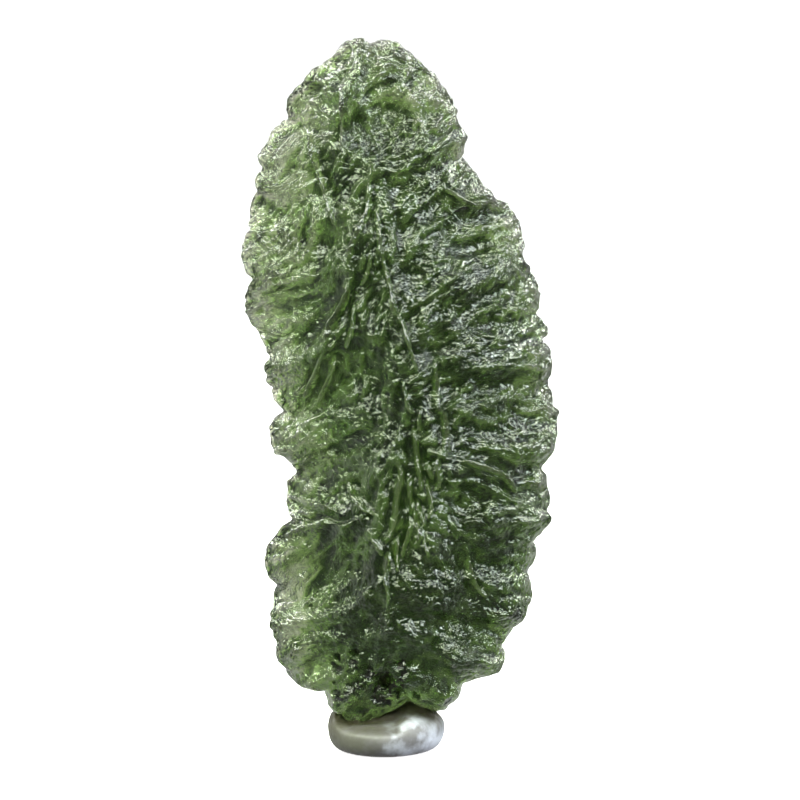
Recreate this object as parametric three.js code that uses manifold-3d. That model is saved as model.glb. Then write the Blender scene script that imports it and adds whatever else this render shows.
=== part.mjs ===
// A hedgehog moldavite: a flat drop of green natural glass whose whole surface is etched into
// lobes, ribs, grooves and pits. It stands on end, pressed into a small pad of white putty.
// Millimetres, +Z up, front face towards -Y. The origin is the centre of the pad's flat underside.
import * as THREE from "three";
import { mergeVertices } from "three/addons/utils/BufferGeometryUtils.js";
import Module from "manifold-3d";

// Driving dimensions of the stone
const COLUMN_SPACING = 0.62; // distance along the rim between two columns of vertices
const RINGS = 11; // rows of vertices from the rim to the spine, on each face
const RING_CROWDING = 1.35; // above 1 the rows lie closer together near the rim
const LOBE_FULLNESS = 0.9; // below 1 the lobes are blunter than half an ellipse
const RIM_JAG = 0.3; // how deep the small nicks in the rim are
const SPINE_HALF_WIDTH = 0.55; // half width of the strip that closes each face along its spine
const LEFT_LEAN = 0.76; // above a half the columns leave the rim flat and reach the spine steep
const RIGHT_LEAN = 0.62;
const BACK_SPINE_SWING = 0.7; // how far the spine of the back strays from that of the front
const THIN_SIDE = [1.8, 1.5]; // the section's roundness on the left, where it ends in a wedge
const FULL_SIDE = [2.3, 2.1]; // and on the right, where it is nearly an ellipse
const BLUNT_FOOT = [3.6, 3.4]; // and at the foot, below the height at which it starts to widen
const FOOT_HEIGHTS = [1.5, 6.5];
const RIM_WAVE = 1.15; // how far the rim swings forwards and backwards
const FRONT_SHARE = 1.04; // the front is a little deeper than the back
const BACK_SHARE = 0.96;
const FRONT_SEED = 1;
const BACK_SEED = 7;
const RIM_SEED = 23;
const LOBE_REACH = 0.4; // how far the lobes reach inwards, as a share of the way to the spine
const LOBE_SPREAD = 4; // columns on each side over which the rim is levelled to part off its lobes
const LOBE_ROOT = 1.1; // how far inside the level rim the lobes end
const BUTTRESS_HEIGHT = 0.42; // from the groove behind a notch to the buttress behind a tip
const LUMP_HEIGHT = 0.55; // broad swells across both faces
const LUMP_PITCHES = [0.8, 0.92]; // waves per millimetre, times 2 pi, of two crossing swells
const RIBS_PER_FACE = 84; // the coarse ribs that run from the rim towards the spine
const RIB_BED = 0.35; // how far the surface between the ribs lies below the plain drop
const RIB_HEIGHTS = [0.28, 0.72];
const RIB_HALF_WIDTHS = [0.55, 0.95];
const RIB_REACHES = [0.14, 0.34]; // half a rib's length, as a share of the way to the spine
const RIB_MIDDLES = [0.12, 0.92]; // where along the way to the spine the ribs lie
const RIB_DRIFTS = [-1.6, 1.6]; // how far a rib's ends stray sideways, in half widths
const RELIEF_LIMIT = 1.2; // the most that the relief stands out beyond the plain drop
const RELIEF_START = 0.22; // share of the way to the spine over which the relief begins

// Driving dimensions of the pad
const PAD_RADIUS = 3.65;
const PAD_FOOT_RADIUS = 2.75;
const PAD_HEIGHT = 2.5;
const PAD_WAIST = 1.45; // height of its widest place
const PAD_SEGMENTS = 36;
const PAD_UNEVENNESS = 0.045; // share of the radius by which it is out of round
const PAD_SHOULDER = 0.55; // below 1 the crown is flatter than half an ellipse
const PAD_ARC_STEPS = 6;
const DENT_GAP = 0.1; // between the stone's foot and the dent that it made

// The rim seen from the front, anticlockwise from the top. Each lobe is the notch before it and
// its own tip: [notch x, notch z, tip x, tip z].
const LOBES = [
  [-0.9, 43.9, -2.0, 44.2],
  [-3.0, 43.5, -3.6, 43.1],
  [-4.0, 42.6, -5.1, 41.9],
  [-5.4, 41.3, -6.2, 40.1],
  [-5.9, 39.1, -7.6, 37.8],
  [-7.4, 36.2, -8.3, 35.6],
  [-8.1, 34.8, -8.6, 33.5],
  [-8.3, 32.3, -9.1, 31.1],
  [-8.1, 29.4, -8.8, 27.7],
  [-7.8, 25.8, -7.6, 25.1],
  [-7.2, 24.6, -7.7, 23.5],
  [-7.0, 22.6, -7.1, 21.8],
  [-6.2, 21.1, -7.3, 19.8],
  [-6.1, 18.3, -6.0, 17.8],
  [-5.5, 17.3, -6.3, 16.0],
  [-5.7, 14.5, -7.5, 12.6],
  [-6.7, 10.4, -7.2, 9.6],
  [-7.1, 8.9, -7.4, 7.8],
  [-7.0, 6.8, -6.8, 5.5],
  [-6.2, 4.7, -5.4, 3.9],
  [-3.9, 3.6, -3.4, 2.5],
  [-3.0, 2.2, -1.4, 1.7],
  [1.4, 3.3, 3.2, 2.4],
  [3.9, 2.8, 4.6, 3.4],
  [5.0, 4.3, 5.7, 4.6],
  [6.4, 4.7, 7.5, 5.5],
  [7.1, 6.5, 7.6, 7.1],
  [7.9, 7.5, 8.7, 8.3],
  [8.8, 8.9, 9.1, 10.1],
  [8.9, 11.2, 9.4, 12.2],
  [9.0, 13.2, 10.1, 14.1],
  [10.2, 14.9, 10.3, 15.7],
  [9.9, 16.4, 10.0, 17.3],
  [9.5, 17.8, 10.8, 19.8],
  [10.4, 21.4, 10.4, 22.3],
  [10.0, 23.0, 10.3, 24.2],
  [9.9, 25.7, 10.2, 26.3],
  [9.2, 27.2, 9.4, 29.0],
  [8.4, 30.7, 8.5, 31.6],
  [8.2, 32.8, 8.0, 33.6],
  [6.9, 34.4, 6.6, 35.1],
  [5.8, 35.4, 5.6, 36.0],
  [4.5, 36.8, 5.0, 38.3],
  [4.2, 39.4, 4.3, 40.5],
  [3.3, 41.4, 3.0, 42.1],
  [2.3, 42.7, 1.5, 43.3],
  [1.0, 43.7, 0.3, 44.2],
];

// The spine that the ribs leave like the barbs of a feather: [x, z], from the top down.
const SPINE = [
  [-2.2, 40.6],
  [-1.5, 37.4],
  [-0.6, 33.7],
  [0.1, 29.4],
  [1.0, 24.4],
  [1.6, 19.4],
  [1.3, 14.4],
  [0.6, 10.1],
  [0.4, 6.0],
];

// Where on the spine the rib to a lobe starts: [lobe, spine z]. On the left the ribs run
// outwards and down, on the upper right outwards and up.
const TOP_LOBE = 0;
const FOOT_LOBE = 22;
const LEFT_ANCHORS = [
  [TOP_LOBE, 40.6],
  [3, 39.8],
  [5, 37.4],
  [7, 35.0],
  [9, 31.8],
  [11, 28.7],
  [13, 24.4],
  [15, 19.6],
  [18, 11.9],
  [20, 8.2],
  [FOOT_LOBE, 6.0],
];
const RIGHT_ANCHORS = [
  [FOOT_LOBE, 6.0],
  [26, 8.5],
  [29, 12.2],
  [32, 17.3],
  [35, 22.6],
  [38, 28.1],
  [41, 32.1],
  [43, 35.9],
  [45, 39.0],
  [LOBES.length, 40.6],
];

// Half the stone's thickness at a height on the spine: [z, half depth].
const HALF_DEPTHS = [
  [4.0, 2.9],
  [10.0, 4.1],
  [18.0, 4.6],
  [26.0, 4.4],
  [33.0, 3.9],
  [38.0, 3.2],
  [41.0, 2.7],
];

// Ridges on a face: the height, how far the flank reaches on the left and on the right of the
// path, and the path of [x, z]. A short flank is a cliff.
const FRONT_RIDGES = [
  // around the bowl near the top: its sharp left edge, its arch and its sill
  { height: 1.0, flanks: [0.65, 1.7], path: [[-2.6, 41.0], [-2.9, 39.0], [-2.8, 37.2]] },
  { height: 0.75, flanks: [1.0, 1.1], path: [[-3.4, 40.6], [-1.8, 42.4], [0.8, 42.2], [2.6, 40.2]] },
  { height: 0.8, flanks: [0.9, 0.8], path: [[-1.2, 36.2], [0.8, 36.8], [2.9, 38.6]] },
  // the ledge on the right shoulder
  { height: 1.1, flanks: [1.5, 0.65], path: [[2.2, 36.0], [4.4, 35.6], [6.4, 34.0]] },
  // the two long ridges that part below the bowl, and the strand between them
  { height: 0.95, flanks: [1.0, 0.7], path: [[-0.9, 33.2], [0.4, 29.2], [1.4, 25.6], [3.0, 19.4]] },
  { height: 0.9, flanks: [0.8, 0.9], path: [[-1.2, 33.6], [-2.3, 29.8], [-3.3, 26.4], [-4.6, 22.8]] },
  { height: 0.7, flanks: [0.7, 0.7], path: [[-0.2, 28.4], [0.4, 24.4], [1.3, 20.8], [1.5, 16.6]] },
  // the strands that meet above the foot
  { height: 0.8, flanks: [0.8, 0.8], path: [[0.2, 18.0], [-0.5, 14.0], [0.4, 10.2], [0.3, 7.2]] },
  { height: 0.8, flanks: [0.8, 0.8], path: [[2.6, 17.6], [2.4, 13.6], [1.4, 10.6]] },
  // a sickle on the right, a ledge on the left, and a ridge that crosses to the right rim
  { height: 0.8, flanks: [0.65, 1.3], path: [[3.8, 18.8], [6.4, 17.6], [8.2, 15.2]] },
  { height: 0.9, flanks: [0.65, 1.4], path: [[-6.0, 14.6], [-3.8, 14.9], [-1.9, 14.2]] },
  { height: 0.75, flanks: [0.7, 1.0], path: [[3.6, 25.0], [6.2, 25.4], [8.6, 25.4]] },
];
const BACK_RIDGES = [
  // the main ridge, and the one beside it
  { height: 1.1, flanks: [1.1, 0.8], path: [[-1.6, 39.0], [-2.6, 34.0], [-0.6, 25.4], [2.0, 15.0]] },
  { height: 0.9, flanks: [0.8, 1.1], path: [[2.2, 38.0], [2.6, 32.0], [3.6, 27.0], [3.2, 21.0]] },
  // its fork, and the ridges that run to the foot
  { height: 0.8, flanks: [0.9, 0.7], path: [[-2.0, 30.0], [-4.2, 26.0], [-4.4, 21.0]] },
  { height: 0.95, flanks: [0.9, 0.9], path: [[-1.6, 18.0], [-2.0, 12.0], [-0.4, 7.0]] },
  { height: 0.8, flanks: [1.0, 0.7], path: [[4.0, 17.0], [6.0, 13.0], [6.4, 9.0]] },
  // a sill across the top
  { height: 0.7, flanks: [0.8, 1.0], path: [[-5.4, 36.0], [-2.4, 36.8], [1.8, 35.2]] },
];
const RIDGE_END = 0.16; // share of its path over which a ridge rises at each end

// Round hollows on a face: [x, z, radius, depth].
const FRONT_HOLLOWS = [
  [-0.5, 39.2, 2.1, 0.9],
  [3.6, 32.6, 1.7, 0.4],
  [-4.4, 31.2, 1.5, 0.45],
  [-3.4, 27.4, 1.2, 0.5],
  [-1.8, 24.0, 1.0, 0.4],
  [4.4, 23.0, 1.4, 0.4],
  [-3.2, 19.4, 1.3, 0.45],
  [4.6, 15.4, 1.6, 0.4],
  [-3.6, 11.6, 1.6, 0.4],
  [5.2, 9.4, 1.5, 0.4],
  [-0.1, 4.6, 0.7, 0.6],
];
const BACK_HOLLOWS = [
  [0.4, 37.4, 1.5, 0.6],
  [-4.6, 32.0, 1.6, 0.55],
  [5.4, 30.4, 1.5, 0.5],
  [0.9, 31.4, 1.2, 0.5],
  [-2.4, 24.0, 1.3, 0.5],
  [6.6, 21.8, 1.6, 0.55],
  [-4.6, 15.8, 1.4, 0.5],
  [4.2, 11.0, 1.4, 0.5],
  [0.8, 11.4, 1.1, 0.5],
  [-3.8, 7.4, 1.3, 0.45],
];

const clamp = THREE.MathUtils.clamp;
const lerp = THREE.MathUtils.lerp;
const smoothstep = THREE.MathUtils.smoothstep;

// A value read off a list of [key, value] pairs with rising keys.
function readOff(pairs, key) {
  const last = pairs.length - 1;
  if (key <= pairs[0][0]) return pairs[0][1];
  if (key >= pairs[last][0]) return pairs[last][1];
  const next = pairs.findIndex((pair) => pair[0] > key);
  const [fromKey, from] = pairs[next - 1];
  const [toKey, to] = pairs[next];
  return lerp(from, to, (key - fromKey) / (toKey - fromKey));
}

// A smooth uneven value between -1 and 1 for a number, the same at each run.
function wave(number, seed) {
  const slow = Math.sin(number * 1.31 + seed * 2.1);
  const middling = Math.sin(number * 2.87 + seed * 4.7);
  const fast = Math.sin(number * 5.03 + seed * 1.3);
  return 0.5 * slow + 0.3 * middling + 0.2 * fast;
}

// Random numbers from 0 to 1, the same at each run.
function randomNumbers(seed) {
  let state = seed;
  return () => {
    state = (state * 1664525 + 1013904223) % 4294967296;
    return state / 4294967296;
  };
}

const spineCurve = new THREE.CatmullRomCurve3(
  SPINE.map(([x, z]) => new THREE.Vector3(x, 0, z)),
);
const SPINE_TOP = SPINE[0][1];
const SPINE_FOOT = SPINE[SPINE.length - 1][1];
const spineByHeight = spineCurve
  .getPoints(200)
  .map((point) => [point.z, point.x])
  .reverse();

// The point of the closed inner line around the spine that a column ends on.
function spinePoint(height, side) {
  const share = (SPINE_TOP - height) / (SPINE_TOP - SPINE_FOOT);
  const halfWidth = SPINE_HALF_WIDTH * Math.sqrt(Math.max(0, 4 * share * (1 - share)));
  const x = readOff(spineByHeight, height) + side * halfWidth;
  return new THREE.Vector2(x, height);
}

// The columns of vertices, one after the other round the rim.
function makeColumns() {
  const random = randomNumbers(RIM_SEED);
  const columns = [];
  let arc = 0;
  LOBES.forEach(([notchX, notchZ, tipX, tipZ], lobe) => {
    const next = LOBES[(lobe + 1) % LOBES.length];
    const from = new THREE.Vector2(notchX, notchZ);
    const tip = new THREE.Vector2(tipX, tipZ);
    const to = new THREE.Vector2(next[0], next[1]);
    const middle = from.clone().add(to).multiplyScalar(0.5);
    const length = from.distanceTo(tip) + tip.distanceTo(to);
    const steps = 2 * clamp(Math.round(length / 2 / COLUMN_SPACING), 1, 3);
    for (let step = 0; step < steps; step++) {
      const turn = (Math.PI * step) / steps;
      const swell = Math.sin(turn) ** LOBE_FULLNESS;
      const rim = middle.clone();
      rim.addScaledVector(from.clone().sub(middle), Math.cos(turn));
      rim.addScaledVector(tip.clone().sub(middle), swell);
      rim.addScaledVector(tip.clone().sub(middle).normalize(), -RIM_JAG * random() ** 2);
      const place = lobe + step / steps;
      const side = place < FOOT_LOBE ? -1 : 1;
      const anchors = side < 0 ? LEFT_ANCHORS : RIGHT_ANCHORS;
      const height = readOff(anchors, place);
      if (columns.length > 0) arc += rim.distanceTo(columns[columns.length - 1].rim);
      columns.push({ rim, spine: spinePoint(height, side), height, swell, place, side, arc });
    }
  });
  const neighbour = (i, step) => columns[(i + step + columns.length) % columns.length];
  columns.forEach((column, i) => {
    column.level = new THREE.Vector2();
    for (let step = -LOBE_SPREAD; step <= LOBE_SPREAD; step++)
      column.level.add(neighbour(i, step).rim);
    column.level.divideScalar(2 * LOBE_SPREAD + 1);
  });
  columns.forEach((column, i) => {
    const along = neighbour(i, LOBE_SPREAD).level.clone().sub(neighbour(i, -LOBE_SPREAD).level);
    const inwards = new THREE.Vector2(-along.y, along.x).normalize();
    column.root = column.level.clone().addScaledVector(inwards, LOBE_ROOT);
  });
  return columns;
}

// A column's path in the plane of the rim. It leaves the spine steeply and flattens outwards on
// the left, and is nearly straight on the right. The lobes show only near the rim.
function pathPoint(column, share, front) {
  const { rim, root, side } = column;
  const swing = front < 0 ? 0 : BACK_SPINE_SWING * wave(0.23 * column.height, 4);
  const spine = column.spine.clone().add(new THREE.Vector2(swing, 0));
  const lean = side < 0 ? LEFT_LEAN : RIGHT_LEAN;
  const bend = new THREE.Vector2(lerp(root.x, spine.x, lean), lerp(root.y, spine.y, 1 - lean));
  return root
    .clone()
    .multiplyScalar((1 - share) ** 2)
    .addScaledVector(bend, 2 * share * (1 - share))
    .addScaledVector(spine, share ** 2)
    .addScaledVector(rim.clone().sub(root), Math.max(0, 1 - share / LOBE_REACH) ** 2);
}

// Height of a ridge over a point of the face.
function ridgeHeight(ridge, x, z) {
  let nearest = Infinity;
  let signed = 0;
  let along = 0;
  for (let i = 0; i + 1 < ridge.path.length; i++) {
    const [ax, az] = ridge.path[i];
    const [bx, bz] = ridge.path[i + 1];
    const dx = bx - ax;
    const dz = bz - az;
    const share = clamp(((x - ax) * dx + (z - az) * dz) / (dx * dx + dz * dz), 0, 1);
    const offX = x - ax - share * dx;
    const offZ = z - az - share * dz;
    const distance = Math.hypot(offX, offZ);
    if (distance < nearest) {
      nearest = distance;
      signed = dx * offZ - dz * offX > 0 ? distance : -distance;
      along = (i + share) / (ridge.path.length - 1);
    }
  }
  const reach = signed > 0 ? ridge.flanks[0] : ridge.flanks[1];
  const taper = smoothstep(Math.min(along, 1 - along) + RIDGE_END / 3, 0, RIDGE_END);
  return ridge.height * taper * Math.exp(-((nearest / reach) ** 2));
}

// The coarse ribs of a face, scattered along its columns.
function makeRibs(columns, seed) {
  const random = randomNumbers(seed);
  const between = ([low, high]) => lerp(low, high, random());
  return Array.from({ length: RIBS_PER_FACE }, () => {
    const column = columns[Math.floor(random() * columns.length)];
    return {
      column,
      middle: between(RIB_MIDDLES),
      reach: between(RIB_REACHES),
      halfWidth: between(RIB_HALF_WIDTHS),
      height: between(RIB_HEIGHTS),
      drift: between(RIB_DRIFTS),
    };
  });
}

// Height of a rib at a share of a column.
function ribHeight(rib, column, share) {
  const along = (share - rib.middle) / rib.reach;
  if (Math.abs(along) >= 1 || column.side !== rib.column.side) return 0;
  const acrossRim = column.arc - rib.column.arc;
  const acrossSpine = Math.abs(column.height - rib.column.height) * Math.sign(acrossRim);
  const across = lerp(acrossRim, acrossSpine, share) + rib.drift * along * rib.halfWidth;
  return rib.height * (1 - along ** 2) * Math.exp(-((across / rib.halfWidth) ** 2));
}

// The share of its full depth that a section has at a share of the way to the spine.
function roundOff(share, [outer, inner]) {
  return (1 - (1 - share) ** outer) ** (1 / inner);
}

// How far a point of a face stands out beyond the plain drop.
function relief(x, z, ridges, hollows, seed) {
  const falling = wave(LUMP_PITCHES[0] * (0.77 * x + 0.64 * z), seed);
  const rising = wave(LUMP_PITCHES[1] * (0.82 * z - 0.57 * x), seed + 3);
  let out = LUMP_HEIGHT * falling * rising;
  for (const ridge of ridges) out += ridgeHeight(ridge, x, z);
  for (const [hx, hz, radius, depth] of hollows) {
    const distance = Math.hypot(x - hx, z - hz) / radius;
    out -= depth * Math.exp(-(distance ** 3));
  }
  return out;
}

// A vertex of one face. share is 0 on the rim and 1 at the spine; front is -1 and back is 1.
function facePoint(column, share, front, ribs) {
  const flat = pathPoint(column, share, front);
  const halfDepth = readOff(HALF_DEPTHS, lerp(flat.y, column.height, 0.5));
  const rightness = smoothstep(column.rim.x - column.spine.x, -3, 3);
  const sides = lerp(roundOff(share, THIN_SIDE), roundOff(share, FULL_SIDE), rightness);
  const height = smoothstep(column.rim.y, ...FOOT_HEIGHTS);
  const dome = lerp(roundOff(share, BLUNT_FOOT), sides, height);
  const depth = halfDepth * dome * (front < 0 ? FRONT_SHARE : BACK_SHARE);
  const away = smoothstep(share, 0, RELIEF_START);
  const seed = front < 0 ? FRONT_SEED : BACK_SEED;
  const size = 0.8 + 0.5 * wave(column.place * 2.3, seed);
  const fade = 1 - smoothstep(share, 0.15, 0.5 + 0.25 * wave(column.place * 1.1, seed + 2));
  const buttress = BUTTRESS_HEIGHT * size * (column.swell - 0.55) * fade;
  const shape =
    front < 0
      ? relief(flat.x, flat.y, FRONT_RIDGES, FRONT_HOLLOWS, seed)
      : relief(flat.x, flat.y, BACK_RIDGES, BACK_HOLLOWS, seed);
  const rimSwing = RIM_WAVE * wave(column.place * 1.9, 5) * (1 - share) ** 2;
  const ribbing = ribs.reduce((sum, rib) => sum + ribHeight(rib, column, share), 0);
  const standing = buttress + shape + ribbing - RIB_BED;
  const limited = standing > 0 ? RELIEF_LIMIT * Math.tanh(standing / RELIEF_LIMIT) : standing;
  return new THREE.Vector3(flat.x, rimSwing + front * (depth + away * limited), flat.y);
}

// The stone: two faces that share their rim, each closed along the spine by a strip.
function makeStoneGeometry() {
  const columns = makeColumns();
  const positions = [];
  const indices = [];
  const add = (point) => positions.push(point.x, point.y, point.z) / 3 - 1;
  const triangle = (a, b, c, front) => indices.push(...(front < 0 ? [a, b, c] : [a, c, b]));
  const rimRow = columns.map((column) => add(facePoint(column, 0, -1, [])));
  for (const front of [-1, 1]) {
    const ribs = makeRibs(columns, front < 0 ? FRONT_SEED : BACK_SEED);
    const rows = [rimRow];
    for (let ring = 1; ring <= RINGS; ring++) {
      const share = (ring / RINGS) ** RING_CROWDING;
      rows.push(columns.map((column) => add(facePoint(column, share, front, ribs))));
    }
    for (let ring = 0; ring < RINGS; ring++)
      columns.forEach((_, i) => {
        const j = (i + 1) % columns.length;
        triangle(rows[ring][i], rows[ring][j], rows[ring + 1][i], front);
        triangle(rows[ring][j], rows[ring + 1][j], rows[ring + 1][i], front);
      });
    closeSpine(columns, rows[RINGS], triangle, front);
  }
  const geometry = new THREE.BufferGeometry();
  geometry.setAttribute("position", new THREE.Float32BufferAttribute(positions, 3));
  geometry.setIndex(indices);
  return mergeVertices(geometry, 1e-4);
}

// Stitches the left and right ends of the columns together, from the top of the spine down.
function closeSpine(columns, row, triangle, front) {
  const order = [...columns.keys()];
  const left = order.filter((i) => columns[i].side < 0);
  const right = order.filter((i) => columns[i].side > 0).reverse();
  right.unshift(left[0]);
  let l = 0;
  let r = 0;
  while (l + 1 < left.length || r + 1 < right.length) {
    const leftNext = l + 1 < left.length ? columns[left[l + 1]].height : -Infinity;
    const rightNext = r + 1 < right.length ? columns[right[r + 1]].height : -Infinity;
    if (leftNext > rightNext) {
      if (left[l] !== right[r]) triangle(row[left[l]], row[left[l + 1]], row[right[r]], front);
      l++;
    } else {
      if (left[l] !== right[r] || r > 0)
        triangle(row[left[l]], row[right[r + 1]], row[right[r]], front);
      r++;
    }
  }
}

// The same closed surface with every vertex moved out along its normal.
function inflated(geometry, distance) {
  const grown = geometry.clone();
  grown.computeVertexNormals();
  const position = grown.attributes.position;
  const normal = grown.attributes.normal;
  for (let i = 0; i < position.count; i++)
    position.setXYZ(
      i,
      position.getX(i) + distance * normal.getX(i),
      position.getY(i) + distance * normal.getY(i),
      position.getZ(i) + distance * normal.getZ(i),
    );
  grown.deleteAttribute("normal");
  return grown;
}

// A pat of putty with a flat foot, a rounded side and a low crown, a little out of round.
function makePadGeometry() {
  const profile = [new THREE.Vector2(0, 0), new THREE.Vector2(PAD_FOOT_RADIUS, 0)];
  for (let i = 1; i <= PAD_ARC_STEPS; i++) {
    const turn = (Math.PI / 2) * (i / PAD_ARC_STEPS);
    const r = PAD_FOOT_RADIUS + (PAD_RADIUS - PAD_FOOT_RADIUS) * Math.sin(turn);
    profile.push(new THREE.Vector2(r, PAD_WAIST * (1 - Math.cos(turn))));
  }
  for (let i = 1; i < PAD_ARC_STEPS; i++) {
    const turn = (Math.PI / 2) * (i / PAD_ARC_STEPS);
    const r = PAD_RADIUS * Math.cos(turn) ** PAD_SHOULDER;
    profile.push(new THREE.Vector2(r, PAD_WAIST + (PAD_HEIGHT - PAD_WAIST) * Math.sin(turn)));
  }
  profile.push(new THREE.Vector2(0, PAD_HEIGHT));
  const geometry = new THREE.LatheGeometry(profile, PAD_SEGMENTS);
  geometry.rotateX(Math.PI / 2);
  const position = geometry.attributes.position;
  for (let i = 0; i < position.count; i++) {
    const angle = Math.atan2(position.getY(i), position.getX(i));
    const swell = 1 + PAD_UNEVENNESS * (0.6 * Math.sin(2 * angle + 0.6) + 0.4 * Math.sin(3 * angle));
    position.setX(i, position.getX(i) * swell);
    position.setY(i, position.getY(i) * swell);
  }
  geometry.deleteAttribute("normal");
  geometry.deleteAttribute("uv");
  return mergeVertices(geometry, 1e-4);
}

const wasm = await Module();
wasm.setup();

// Between a closed geometry and a solid that can be cut.
function toSolid(geometry) {
  return new wasm.Manifold(
    new wasm.Mesh({
      numProp: 3,
      vertProperties: new Float32Array(geometry.attributes.position.array),
      triVerts: new Uint32Array(geometry.index.array),
    }),
  );
}
function toGeometry(solid) {
  const mesh = solid.getMesh();
  const geometry = new THREE.BufferGeometry();
  geometry.setAttribute("position", new THREE.BufferAttribute(mesh.vertProperties, 3));
  geometry.setIndex(new THREE.BufferAttribute(mesh.triVerts, 1));
  return geometry;
}

function makeStone() {
  const material = new THREE.MeshStandardMaterial({ color: 0x5a7446, roughness: 0.15, metalness: 0 });
  const stone = new THREE.Mesh(makeStoneGeometry(), material);
  stone.name = "moldavite";
  return stone;
}

function makePad(stone) {
  const dent = toSolid(inflated(stone.geometry, DENT_GAP));
  const geometry = toGeometry(toSolid(makePadGeometry()).subtract(dent));
  const material = new THREE.MeshStandardMaterial({ color: 0xd6d6da, roughness: 0.4, metalness: 0 });
  const pad = new THREE.Mesh(geometry, material);
  pad.name = "putty_pad";
  return pad;
}

const specimen = new THREE.Group();
const stone = makeStone();
specimen.add(stone);
specimen.add(makePad(stone));

export default specimen;
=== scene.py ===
"""A leaf-like moldavite on a small pad of white putty: its etched surface, see-through green
glass, the pad, a white table and room, and small soft lamps. Lengths are in millimetres until the
last step of each mesh, and +Z is up."""

import math

import bmesh
import bpy
import numpy as np
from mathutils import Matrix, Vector
from mathutils.bvhtree import BVHTree
from mathutils.kdtree import KDTree


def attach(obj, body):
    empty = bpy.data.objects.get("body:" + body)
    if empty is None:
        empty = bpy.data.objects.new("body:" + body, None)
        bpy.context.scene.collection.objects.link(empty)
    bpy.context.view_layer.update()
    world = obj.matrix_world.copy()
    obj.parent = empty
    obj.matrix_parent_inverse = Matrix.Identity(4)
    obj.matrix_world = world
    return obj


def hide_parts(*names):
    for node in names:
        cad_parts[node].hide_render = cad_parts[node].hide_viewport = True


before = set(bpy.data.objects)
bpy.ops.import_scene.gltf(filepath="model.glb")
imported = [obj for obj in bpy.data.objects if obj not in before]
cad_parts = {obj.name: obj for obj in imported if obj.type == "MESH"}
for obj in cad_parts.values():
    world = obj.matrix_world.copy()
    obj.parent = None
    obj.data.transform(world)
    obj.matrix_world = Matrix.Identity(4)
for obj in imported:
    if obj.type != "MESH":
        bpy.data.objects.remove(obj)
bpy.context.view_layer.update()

MM = 0.001

# The stone's skin: size of its quads, rounds of smoothing, cell of the search grid, most triangles
STONE_VOXEL = 0.112
STONE_SMOOTHING = 12
FACE_SMOOTHING = 40
FACE_SHARE = 0.6
FACE_FACING = (0.55, 0.9)
FACING_SMOOTHING = 20
NORMAL_SMOOTHING = 12
GRID_CELL = 0.6
STONE_TRIANGLES = 198000

# The pad's skin
PAD_VOXEL = 0.09
PAD_SMOOTHING = 8
PAD_NORMAL_SMOOTHING = 6
PAD_DENT_SMOOTHING = 25
PAD_LAST_SMOOTHING = 2

# How near the stone the putty clings to it, how far it goes into it, how far its painted contact
# shadow reaches, and how strong that painted shadow is over the dent in front of the foot
PAD_GRIP = 0.35
PAD_PRESS = 1.05
PAD_SHADOW_REACH = 2.6
PAD_DENT_SHADOW = 0.7

# The low hills and finger marks of the putty: height, length of their waves, seed
PAD_SWELLS = [(0.035, 2.2, 41), (0.012, 0.6, 43)]

# Between which heights the pad's flat foot ends and its crown begins
PAD_FOOT = (0.25, 0.9)
PAD_CROWN = (1.2, 2.3)

# The dent in front of the stone's foot, and the lip behind the foot and between its toes
PAD_DENT = 0.5
PAD_DENT_MIDDLE = -0.9
PAD_DENT_REACH = 2.3
PAD_DENT_EDGE = 0.8
PAD_DENT_FRONT = (0.2, 1.6)
PAD_LIP = 0.45
PAD_LIP_BACK = (-1.6, 0.4)
PAD_LIP_LEFT = (-3.2, -1.8)


def mesh_of(name, points, corners):
    """A mesh from arrays of points and of quads or triangles."""
    mesh = bpy.data.meshes.new(name)
    sides = corners.shape[1]
    mesh.vertices.add(len(points))
    mesh.vertices.foreach_set("co", np.asarray(points, np.float32).ravel())
    mesh.loops.add(corners.size)
    mesh.loops.foreach_set("vertex_index", corners.ravel().astype(np.int32))
    mesh.polygons.add(len(corners))
    mesh.polygons.foreach_set("loop_start", np.arange(0, corners.size, sides, dtype=np.int32))
    mesh.update(calc_edges=True)
    mesh.validate()
    return mesh


def to_object(name, points, corners):
    """A smooth-shaded object from points in millimetres."""
    mesh = mesh_of(name, np.asarray(points) * MM, corners)
    mesh.polygons.foreach_set("use_smooth", [True] * len(mesh.polygons))
    piece = bpy.data.objects.new(name, mesh)
    bpy.context.scene.collection.objects.link(piece)
    return piece


def mesh_arrays(mesh, sides):
    points = np.empty(len(mesh.vertices) * 3, np.float32)
    mesh.vertices.foreach_get("co", points)
    corners = np.empty(len(mesh.loops), np.int32)
    mesh.loops.foreach_get("vertex_index", corners)
    return points.reshape(-1, 3).astype(float), corners.reshape(-1, sides)


def modified(points, corners, kind, sides, **settings):
    """The arrays of a mesh after one modifier."""
    mesh = mesh_of("before", points, corners)
    piece = bpy.data.objects.new("before", mesh)
    bpy.context.scene.collection.objects.link(piece)
    modifier = piece.modifiers.new("change", kind)
    for name, value in settings.items():
        setattr(modifier, name, value)
    graph = bpy.context.evaluated_depsgraph_get()
    made = bpy.data.meshes.new_from_object(piece.evaluated_get(graph))
    arrays = mesh_arrays(made, sides)
    bpy.data.objects.remove(piece)
    bpy.data.meshes.remove(mesh)
    bpy.data.meshes.remove(made)
    return arrays


def remeshed(points, corners, voxel):
    """An even skin of quads over a closed mesh."""
    return modified(points, corners, "REMESH", 4, mode="VOXEL", voxel_size=voxel, adaptivity=0.0)


def thinned(points, corners, most):
    """The same surface with at most so many triangles, fewest where it is flattest."""
    triangles = np.concatenate([corners[:, [0, 1, 2]], corners[:, [0, 2, 3]]])
    return modified(points, triangles, "DECIMATE", 3, ratio=min(1, most / len(triangles)))


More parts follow.
